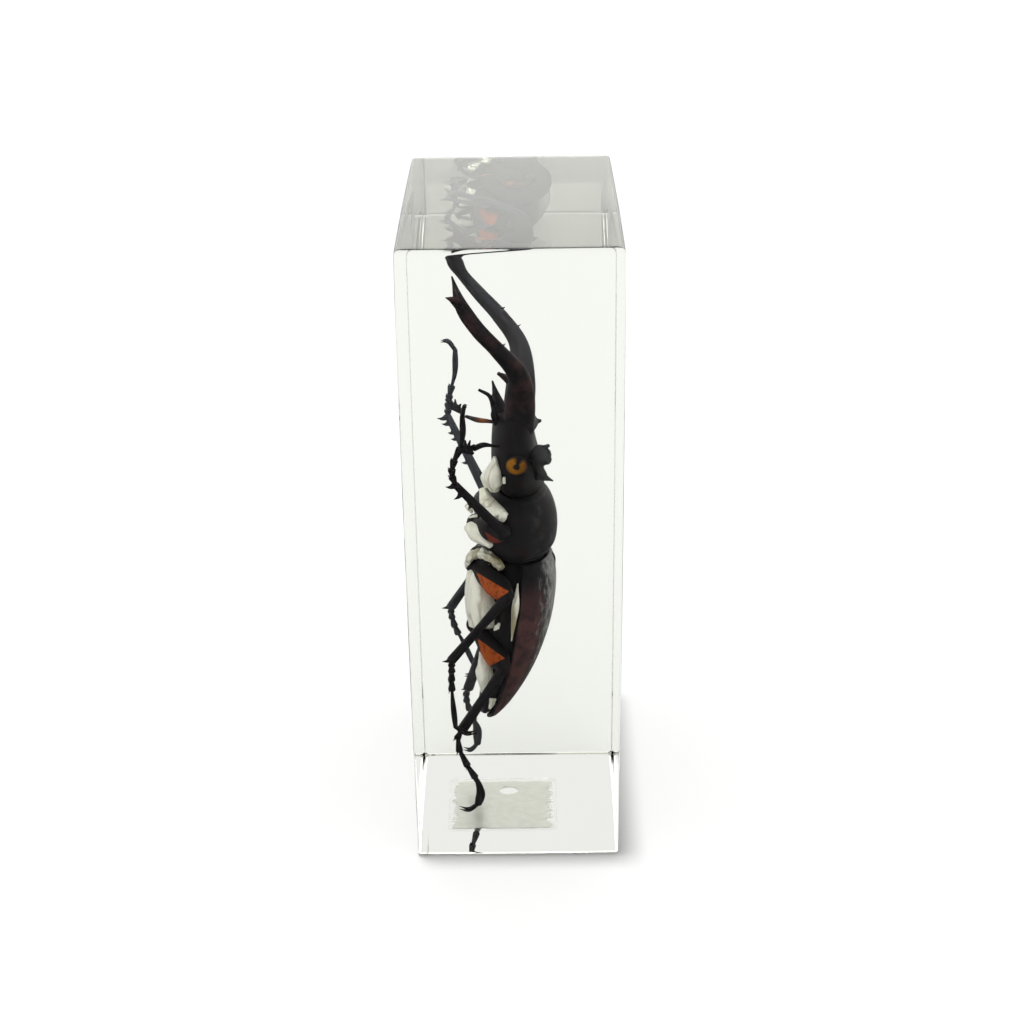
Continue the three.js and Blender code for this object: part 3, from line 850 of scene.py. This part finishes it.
def wing_case(name, side, finish):
    """A wing case: at each height an arc from the seam over the widest place and a little under.

    The arc follows the oval section of the wing cases' table; the skin dips at the seam, rises in
    a rim at its free edge, narrows in a quarter circle at the tail, and has a real thickness.
    """
    share = spread(WING_ROWS)
    height, wide = (smooth(WING_CASES[row])(share)[:, None] for row in ("z", "wide"))
    from_tail = np.clip((height - height[0]) / WING_TAIL["long"], 0, 1)
    rounded = np.sqrt(1 - (1 - from_tail) ** 2) * (1 - WING_TAIL["end"]) + WING_TAIL["end"]
    start = np.arcsin(WING_SEAM["gap"] / wide)
    turn = start + (WING_WRAP - start) * np.linspace(0, 1, WING_COLUMNS)
    rim = WING_RIM["high"] * hump(turn, WING_RIM["at"], WING_RIM["half"])
    seam = WING_SEAM["deep"] * hump(turn, start + WING_SEAM["at"], WING_SEAM["half"])
    ribs = WING_RIBS["high"] * np.cos(turn * WING_RIBS["count"]) * np.clip(np.sin(turn), 0, 1)
    points = ovals(WING_CASES, share, turn, rim - seam + ribs, rounded)
    grid = np.arange(WING_ROWS * WING_COLUMNS).reshape(WING_ROWS, WING_COLUMNS)
    quads = quads_between(grid[:, :-1], grid[:, 1:])
    if side == "left":
        points, quads = points * [1, -1, 1], quads[:, ::-1]
    shape = Shape()
    shape.add(points, [quads], flow_of(share, turn))
    made = shape.mesh(name, finish)
    thick = made.modifiers.new("thickness", "SOLIDIFY")
    thick.thickness = WING_THICK * MM
    thick.offset = -1
    return made


# ---- the head and what it carries

EYE = {"spot": [0.6, -11.8, 70.3], "half": [1.8, 1.4, 1.7]}
CREST_KNOBS = {"left": ([4.5, -9.8, 71.5], [1.7, 1.3, 1.8]), "right": ([3.2, 9.6, 72.2], [1, 1.2, 1.3])}
CREST_TEETH = [  # root, tip, half-width at the root and at the tip
    ([4.7, -10, 72.7], [5.8, -10.3, 73.4], 0.6, 0.3),
    ([5.3, -10, 72.1], [5.9, -10.3, 72.2], 0.6, 0.4),
    ([5.1, -9.8, 70.9], [5.8, -10, 70.6], 1, 0.75),
    ([4.2, -8.4, 67.6], [6.5, -8.3, 66.5], 1, 0.12),
    ([2.8, 9.6, 72.2], [4.6, 9.8, 72.4], 1.2, 0.3),
    ([4.2, 8.4, 67.6], [6.3, 8.3, 66.5], 0.9, 0.2),
]
CREST_RIDGE = {"line": [[4, -9.6, 70.4], [4.3, -9.2, 69], [4.9, -8.6, 67.6]], "half": [0.9, 0.75, 0.7]}
FRONT_RIDGE = {"line": [[2.6, -5.4, 74.4], [3.4, 0, 74.6], [2.6, 5.4, 74.4]], "half": [0.6, 0.7, 0.6]}
LIP = {"line": [[-1.6, 0, 76.4], [-2.6, 0, 79.4], [-3.2, 0, 82]], "half": [2.4, 1.5, 0.4]}
PALPS = [  # line, half-widths
    ([[-2.8, -2.6, 76.4], [-3.7, -2.9, 80.2], [-5.4, -3.1, 81.4]], [0.5, 0.36, 0.25]),
    ([[-2.8, 2.6, 76.4], [-3.2, 2.8, 78.2], [-3.1, 2.9, 79.2]], [0.5, 0.4, 0.25]),
    ([[-2.4, -4.2, 75.8], [-3, -4.5, 77.4], [-2.9, -4.4, 78.6]], [0.7, 0.6, 0.3]),
    ([[-2.4, 4.2, 75.8], [-3, 4.5, 77], [-2.9, 4.4, 77.8]], [0.7, 0.6, 0.3]),
]


HEAD_DENTS = [  # angle from the back and half-width, height and half-height, depth
    (0, 0.45, 71, 3, 0.9),
    (math.pi, 0.25, 70, 4, 0.4),
    (math.pi / 2, 0.30, 70.3, 2.4, 0.25),
]


def knobbly(ways):
    """A knob's skin, lifted and lowered by crossing waves."""
    return 1 + 0.07 * np.sin(ways[..., 2] * 9) * np.sin(ways[..., 1] * 8)


def head_shape():
    """The head: a broad oval form, dented between its crests, with toothed crests, lip and palps."""
    def relief(height, turn):
        over = np.abs(wrapped(turn))
        lift = 0.18 * hump(height, 64.6, 0.4)
        for where, half, level, reach, deep in HEAD_DENTS:
            lift = lift - deep * hump(over, where, half) * hump(height, level, reach)
        return lift

    shape = Shape()
    torso(shape, HEAD, rounding=1.0, relief=relief, rows=90, sides=96)
    limb(shape, **FRONT_RIDGE, steps=30)
    limb(shape, **LIP, flat=0.45)
    for line, half in PALPS:
        limb(shape, line, half)
    for middle, half in CREST_KNOBS.values():
        ball(shape, middle, half, knobbly)
    for root, tip, wide, narrow in CREST_TEETH:
        limb(shape, [root, tip], [wide, narrow], steps=8)
    limb(shape, **CREST_RIDGE)
    return shape


JAWS = {
    "left": {
        "line": [[0.9, -5.3, 75], [1.3, -6.3, 80.5], [0.9, -9.4, 85.6], [-2.2, -12.2, 90.4],
                 [-5.2, -12.9, 94], [-7.6, -12.2, 97.6], [-9.2, -6.8, 101.5]],
        "half": [2.6, 2.4, 1.7, 1.3, 1.25, 1.1, 0.15],
        "prong": [[-7.8, -12.3, 97.8], [-9, -12.9, 99], [-10.1, -13.3, 99.5]],
        "prong_half": [0.9, 0.6, 0.1],
        "teeth": [([-2, -11.9, 90.6], [-0.9, -11.2, 91.3], 0.5),
                  ([-1.2, -11.8, 89.4], [-0.4, -11.2, 89.9], 0.3)],
    },
    "right": {
        "line": [[0.9, 5.3, 75], [1.4, 6.4, 80.5], [1.1, 10.3, 86], [-2.1, 12.7, 90.6], [-5.2, 13.4, 94.1],
                 [-7.9, 13, 97.6], [-9.1, 12, 100], [-9.8, 9.8, 102.6], [-10.6, 7.2, 104.6]],
        "half": [2.6, 2.4, 1.6, 1.3, 1.15, 0.98, 1.3, 0.75, 0.12],
        "prong": [[-9.3, 12.2, 99.4], [-10.2, 12.7, 100.8], [-11.3, 13.4, 102.1]],
        "prong_half": [0.8, 0.6, 0.12],
        "teeth": [([-2.9, 12.6, 91.2], [-1.1, 12.4, 92], 0.8),
                  ([0.1, 11.8, 88.2], [1.5, 11.9, 89.1], 0.45),
                  ([0.9, 11, 86], [2.4, 11, 86.5], 0.8)],
    },
}
BASE_TOOTH = {"line": [[0.2, -5.8, 83.2], [-1.1, -5.4, 84.1], [-2.2, -5, 84.7]], "half": [0.9, 0.6, 0.3]}


JAW_EDGE = 0.16  # how far the inner edge stands out, as a share of the half-width


def jaw_shape(side):
    """A jaw: a long curved bar with a sharper inner edge, forked at its end, with inner teeth."""
    spots = JAWS[side]
    inward = 1 if side == "left" else -1

    def form(share, turn):
        edge = hump(wrapped(turn - inward * math.pi / 2), 0, 0.35)
        return 1 + JAW_EDGE * edge * np.clip(share * 6, 0, 1) * np.clip((1 - share) * 6, 0, 1)

    shape = Shape()
    limb(shape, spots["line"], spots["half"], sides=28, steps=90, form=form)
    limb(shape, spots["prong"], spots["prong_half"], steps=16)
    limb(shape, dict(SIDES)[side](BASE_TOOTH["line"]), BASE_TOOTH["half"], steps=16)
    for root, tip, half in spots["teeth"]:
        thorn(shape, root, tip, half)
    return shape


FEELERS = {
    "left": {"line": [[-2.2, -8.2, 72.7], [-3.4, -8.6, 73], [-4.8, -9.5, 73.4], [-6.3, -10.6, 73.1]],
             "half": [0.25, 0.26, 0.46, 0.5], "orange": 0,
             "club": [[-6.7, -11, 72.4], [-8.3, -11.6, 73]], "leaf": [0.3, 0, 1.9]},
    "right": {"line": [[-2.2, 8.4, 72.4], [-3.9, 8.6, 72.7], [-5.9, 9.6, 72.7], [-7.9, 11, 73]],
              "half": [0.3, 0.34, 0.46, 0.3], "orange": 1,
              "club": [[-8.7, 11.6, 73.6], [-10.7, 12.9, 74.3]], "leaf": [-0.3, 0, 1.8]},
}


BEAD_SIZE = [0.42, 0.42, 0.34]
LEAF_HALF = [0.4, 0.36, 0.16]
LEAVES = {"length": 0.8, "uneven": 0.3, "splay": 0.5}  # as shares of "leaf", and in mm


def feeler_shape(side):
    """An elbowed feeler: a long shaft with a pale joint (partly a painted highlight), small beads, and a
    comb of flat leaves.
    """
    spots = FEELERS[side]
    club, leaf = np.array(spots["club"]), np.array(spots["leaf"])
    shape = Shape()
    # the pale orange middle of the shaft, on the right feeler only: partly colour, partly a painted
    # highlight
    limb(shape, spots["line"], spots["half"], steps=30,
         patch=lambda share, points: spots["orange"] * hump(share, 0.5, 0.16))
    for share in np.linspace(0, 0.9, 6):
        spot = club[0] + (club[1] - club[0]) * share
        ball(shape, spot, BEAD_SIZE, sides=14, rows=8)
    for share in np.linspace(0.1, 1.0, 7):
        root = club[0] + (club[1] - club[0]) * share
        length = LEAVES["length"] + LEAVES["uneven"] * math.cos(share * 17)
        tip = root + leaf * length + BACK * LEAVES["splay"] * math.sin(share * 23)
        limb(shape, [root, root + leaf * 0.5, tip], LEAF_HALF, flat=0.9, sides=12, steps=8)
    return shape


# ---- the legs

LEGS = {  # spines: share along the shin, length, droop in degrees; foot: from the ankle on
    ("front", "left"): {
        "hip": [-6.3, -3.6, 57.5], "knee": [-1.8, -14.8, 59], "ankle": [-9.2, -20, 69.3],
        "spines": [(0.3, 1.7, 75), (0.5, 1.7, 75), (0.69, 1.6, 75), (0.86, 1.75, 42), (1, 1.5, 10)],
        "foot": [[-9.8, -20, 71], [-9.6, -20, 73], [-8.3, -20, 75.9], [-7.9, -19.6, 78],
                 [-7.9, -19.2, 81]],
        "claw": [-7.1, -18.8, 82.7],
    },
    ("front", "right"): {
        "hip": [-5.2, 3.6, 56.3], "knee": [-4.7, 14.8, 57.3], "ankle": [-11.2, 21.4, 70.2],
        "spines": [(0.44, 1.3, 15), (0.74, 1.1, 15), (0.82, 1.1, 15), (0.93, 1.4, 10), (1, 1.7, 8)],
        "foot": [[-11.2, 22, 71.8], [-10.8, 22.6, 74.4], [-9.9, 22.6, 77.8], [-9.7, 22, 82.3]],
        "claw": [-12.1, 22, 83.9],
    },
    ("middle", "left"): {
        "hip": [-6.8, -4, 50], "knee": [-1.2, -16.6, 47.8], "ankle": [-10.9, -16, 35.5],
        "spines": [(0.97, 1.8, 20)],
        "foot": [[-10.9, -16.2, 33.9], [-11, -16, 30.9], [-10.9, -15.3, 26.8], [-10.6, -14.5, 21.6]],
        "claw": [-6.8, -15.2, 20.9],
    },
    ("middle", "right"): {
        "hip": [-6.2, 3.6, 49.2], "knee": [-4.2, 16, 46.4], "ankle": [-11.5, 15.2, 35.4],
        "spines": [(0.97, 1.8, 20)],
        "foot": [[-11.5, 15.6, 33.6], [-10.8, 16, 30.6], [-9.5, 16, 27.8], [-7.6, 15.6, 23]],
        "claw": [-9.4, 16, 21],
    },
    ("hind", "left"): {
        "hip": [-6.8, -4.1, 38.3], "knee": [-2, -14.2, 33.2], "ankle": [-9.6, -11.8, 20],
        "spines": [(0.97, 1.2, 60)],
        "foot": [[-10.4, -12.2, 18.4], [-9.9, -13.2, 15.6], [-8.1, -15, 12.7], [-6.9, -15.7, 10.5],
                 [-6.5, -16, 8.3], [-7, -16.3, 6.4]],
        "claw": [-10.3, -16.5, 5.7],
    },
    ("hind", "right"): {
        "hip": [-6.2, 3.6, 37.4], "knee": [-4, 14, 34], "ankle": [-8.8, 12, 19.8],
        "spines": [(0.97, 1.4, 30)],
        "foot": [[-9.2, 12.4, 18], [-8.9, 13.2, 15.6], [-7.9, 14, 12.2], [-7.4, 14.2, 10.4],
                 [-7.4, 14.5, 7.1]],
        "claw": [-10, 14.8, 5.9],
    },
}
THIGH_SHARES = (0.12, 0.4, 0.75, 1)  # from hip to knee, where its half-widths are given
THIGH_HALF = {"front": [1.5, 2, 2.25, 1.3], "middle": [1.5, 1.95, 2.1, 1.2], "hind": [1.5, 1.95, 2.1, 1.2]}
SHIN_HALF = {"front": [1.15, 0.9, 0.7], "middle": [1.15, 0.9, 1], "hind": [1.1, 1, 1.1]}
HIP_HALF = [1.7, 2.3, 1.7]
SPINE = {"half": 0.62, "lift": 0.2}  # lift: how far its root stands off the shin's middle line
SPINE_BEND = [0, 0.2, 0]
BEADS = 4
BEAD_STEP = 0.14  # share of the foot's length from one bead to the next
BEAD_LONG = 1.15  # a bead's length in such steps
BEAD_HALF = [0.32, 0.48, 0.66]
HOOK = {"from": -0.2, "to": 0.3, "lean": -0.6, "apart": 0.4, "half": 0.24}  # on each bead's end
LAST_JOINT_FORM = np.array([0.5, 0.6, 0.8, 1, 1, 0.8])
LAST_JOINT_HALF = {"front": 0.5, "middle": 0.5, "hind": 0.8}
CLAW = {"half": [0.38, 0.32, 0.05], "arch": 0.8, "spread": (0.5, 0.7)}  # spread: at its middle and tip
ORANGE_CORNERS = {  # the orange triangle on each thigh, as x and a height that leans with y
    "front": [(-4.9, 58.5), (-1.9, 56.3), (-3.5, 55.2)],
    "middle": [(-6.4, 50.9), (-0.9, 47.2), (-4.4, 44.8)],
    "hind": [(-6.5, 38.2), (-1.9, 34.4), (-5.4, 32.3)],
}
ORANGE_LEAN = 0.33
ORANGE_EDGE = 0.5  # mm over which a patch fades out


def orange_patch(pair):
    """1 inside the triangle on a pair's thighs, falling to 0 just outside its three sides."""
    corners = np.array(ORANGE_CORNERS[pair])

    def patch(share, points):
        across, lean = points[..., 0], points[..., 2] + ORANGE_LEAN * (12 - np.abs(points[..., 1]))
        inside = np.full(across.shape, np.inf)
        for start, end in zip(corners, np.roll(corners, -1, axis=0)):
            run = (end - start) / np.linalg.norm(end - start)
            inside = np.minimum(inside, run[1] * (across - start[0]) - run[0] * (lean - start[1]))
        return np.clip(0.5 + inside / ORANGE_EDGE, 0, 1)

    return patch


def foot_shape(shape, ankle, spots, claw, thick):
    """A foot: four beads that widen towards their ends, a curved last joint and two hooked claws."""
    toes = curve([ankle] + spots)
    for bead in range(BEADS):
        start, end = toes(np.array([bead, bead + BEAD_LONG]) * BEAD_STEP)
        limb(shape, [start, (start + end) / 2, end], BEAD_HALF, sides=14, steps=10)
        for way in (-1, 1):
            root = end + (end - start) * HOOK["from"]
            tip = end + [HOOK["lean"], way * HOOK["apart"], 0] + (end - start) * HOOK["to"]
            thorn(shape, root, tip, HOOK["half"], sides=6)
    last = toes(np.linspace(BEADS * BEAD_STEP, 1, len(LAST_JOINT_FORM)))
    limb(shape, last, thick * LAST_JOINT_FORM, steps=30)
    rise = math.copysign(CLAW["arch"], claw[2] - ankle[2])
    for way in (-1, 1):
        middle = (last[-1] + claw) / 2 + [0, way * CLAW["spread"][0], rise]
        tip = claw + [0, way * CLAW["spread"][1], 0]
        limb(shape, [last[-1], middle, tip], CLAW["half"], sides=10, steps=14)


def leg_shape(pair, side):
    """A leg: hip, thigh with its orange patch, shin with hooked spines, and foot."""
    spots = LEGS[pair, side]
    hip, knee, ankle, claw = (np.array(spots[key], float) for key in ("hip", "knee", "ankle", "claw"))
    shape = Shape()
    ball(shape, hip, HIP_HALF)
    thigh = [hip + (knee - hip) * share for share in THIGH_SHARES]
    limb(shape, thigh, THIGH_HALF[pair], sides=64, steps=70, patch=orange_patch(pair))
    shin = [knee, (knee + ankle) / 2, ankle]
    limb(shape, shin, SHIN_HALF[pair], flat=0.85, sides=20, steps=40,
         form=lambda share, turn: 1 + 0.07 * np.cos(turn * 3))
    for share, reach, droop in spots["spines"]:
        way = -np.array([math.cos(math.radians(droop)), 0, math.sin(math.radians(droop))])
        root = knee + (ankle - knee) * share + way * SPINE["lift"]
        thorn(shape, root, root + way * reach, SPINE["half"], bend=np.cross(way, SPINE_BEND))
    foot_shape(shape, ankle, spots["foot"], claw, LAST_JOINT_HALF[pair])
    return shape


# ---- air caught in the resin

AIR = {  # pillows: line, half-widths, thickness as a share of them, olive share (painted shade towards the far end), crumpling
    "air_under_head": [
        ([[-3, -8.6, 70.9], [-3, -8.4, 69], [-3.2, -8.2, 66.8], [-3.1, -8, 65.2]],
         [0.6, 2.3, 3, 1.9], 0.52, 0.55, 0.05),
        ([[-4.4, -5.6, 68], [-4.5, -5.7, 66.5], [-4.3, -5.9, 64.8]], [0.6, 1.5, 1], 0.6, 0.3, 0.06),
        ([[-1.5, -11, 68], [-1.5, -11, 67.4], [-1.5, -11, 66.9]], [0.3, 0.35, 0.3], 0.8, 0.1, 0),
    ],
    "air_beside_front_body": [
        ([[-5.2, -6.4, 64.7], [-4.4, -8.2, 62.9], [-3.2, -10.2, 61.9], [-2.3, -12, 61]],
         [0.3, 0.75, 0.85, 0.95], 1.75, 0.4, 0.02),
        ([[-1.6, -12.4, 62.2], [-1.8, -12.5, 61.3], [-2.2, -12.4, 60.2]], [0.45, 0.7, 0.45], 1, 0.2, 0.02),
    ],
    "air_at_front_hip": [
        ([[-7.5, -7.5, 58.1], [-6.1, -9.4, 57.2], [-3.9, -12, 55.8]], [1, 1.45, 0.5], 1, 0, 0),
        ([[-7.4, -8.4, 60], [-6.3, -8.8, 60.4], [-4.8, -9.4, 60.2]], [0.12, 0.25, 0.1], 1, 0, 0),
        ([[-8, -6, 61.6], [-7.4, -6.2, 61], [-7, -6.4, 60.2]], [0.4, 0.6, 0.3], 0.8, 0.3, 0.15),
    ],
    "air_at_middle_hip": [
        ([[-8.1, -5, 49.8], [-7.2, -6.2, 52.2], [-5.4, -7.8, 53.2]], [0.4, 0.75, 0.9], 1, 1, 0.25),
        ([[-5.6, -7.8, 53.3], [-3.8, -9.6, 52.7], [-2.2, -11.6, 51.6]], [0.9, 0.8, 0.7], 1, 1, 0.25),
    ],
    "air_under_belly": [
        ([[-5.9, -2.4, 48.5], [-5.7, -3.6, 46.2], [-5.5, -5.2, 42], [-5.5, -6.2, 38.8]],
         [5, 6.4, 6.9, 5.8], 0.44, 0.3, 0.02),
        ([[0.5, -12.9, 49], [0.1, -13.3, 45], [-0.3, -13.2, 41.5], [-0.7, -12.9, 38]],
         [0.12, 0.62, 0.42, 0.1], 1, 1, 0),
        ([[-3.6, -12.2, 39.9], [-3.1, -12.3, 40.5], [-2.7, -12.3, 41.3]], [0.2, 0.45, 0.2], 0.9, 0.6, 0.2),
    ],
    "air_at_hind_hip": [
        ([[-6, -5, 33.2], [-5.3, -6.6, 29.8], [-6, -5.6, 25.6]], [1, 4.2, 0.8], 0.4, 0.3, 0.06),
        ([[-3.5, -7.4, 26.2], [-4.1, -7.4, 24.4], [-4.7, -7.2, 22.6]], [0.3, 0.7, 0.35], 0.8, 0.5, 0.2),
    ],
}
AIR_END = 0.12  # an air pocket's blunt ends, as a share of its half-width


def air_shape(name):
    """An air pocket: one or more flattened limbs with blunt ends, crumpled by crossing waves."""
    shape = Shape()
    for line, half, thin, olive, crumple in AIR[name]:
        def form(share, turn, crumple=crumple):
            waves = np.sin(share * 17 + 2 * np.sin(turn * 2)) + np.sin(turn * 5 + share * 9)
            return 1 + crumple * waves / 2

        # painted olive shade, growing towards the end of the line
        def patch(share, points, olive=olive):
            return olive * np.clip(share * 1.2 + 0.1, 0, 1)

        limb(shape, line, half, flat=thin, sides=72, steps=70, form=form, patch=patch, end=AIR_END)
    return shape


# ---- putting it together


def keep(made, slot, *nodes):
    """A finished piece: it rides with the whole part and stands for its CAD nodes."""
    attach(made, BODY)
    if nodes:
        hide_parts(*nodes)


def build():
    shell, case, jaw, feeler = shell_finish(), wing_case_finish(), jaw_finish(), feeler_finish()
    eye, air = eye_finish(), air_finish()
    keep(block_shape().mesh("clear_block", resin_finish()), "clear_resin", "resin_first_pour",
         "resin_second_pour")
    keep(sticker_shape().mesh("sticker_film", sticker_finish()), "grey_sticker", "base_sticker")
    keep(hind_body_shape().mesh("hind_body", shell), "black_shell", "hindbody")
    keep(pronotum_shape().mesh("front_body_shield", shell), "black_shell", "pronotum")
    keep(head_shape().mesh("head_with_crests", shell), "black_shell", "head")
    for side, turned in SIDES:
        keep(wing_case(f"wing_case_{side}", side, case), "mahogany_shell", f"elytron_{side}")
        keep(jaw_shape(side).mesh(f"jaw_{side}", jaw), "mahogany_shell", f"mandible_{side}")
        keep(feeler_shape(side).mesh(f"feeler_{side}", feeler), "black_shell", f"antenna_{side}")
        globe = Shape()
        ball(globe, turned(EYE["spot"]), EYE["half"], sides=48, rows=32)
        keep(globe.mesh(f"eye_globe_{side}", eye), "yellow_eye", f"eye_{side}")
        for pair in THIGH_HALF:
            keep(leg_shape(pair, side).mesh(f"{pair}_leg_{side}_dressed", shell), "leg_shell",
                 f"{pair}_leg_{side}")
    for name in AIR:
        keep(air_shape(name).mesh(name, air), "clear_resin")


def lay_floor():
    """A wide flat table top just under the block."""
    mesh = bpy.data.meshes.new("floor")
    corners = np.array([(-1, -1), (1, -1), (1, 1), (-1, 1)]) * FLOOR_HALF
    mesh.from_pydata([(x, y, -FLOOR_DROP * MM) for x, y in corners.tolist()], [], [(0, 1, 2, 3)])
    mesh.materials.append(floor_finish())
    made = put_in_scene("floor", mesh)


place_camera()
light_the_studio()
lay_floor()
build()

bpy.context.scene.view_settings.view_transform = "Standard"
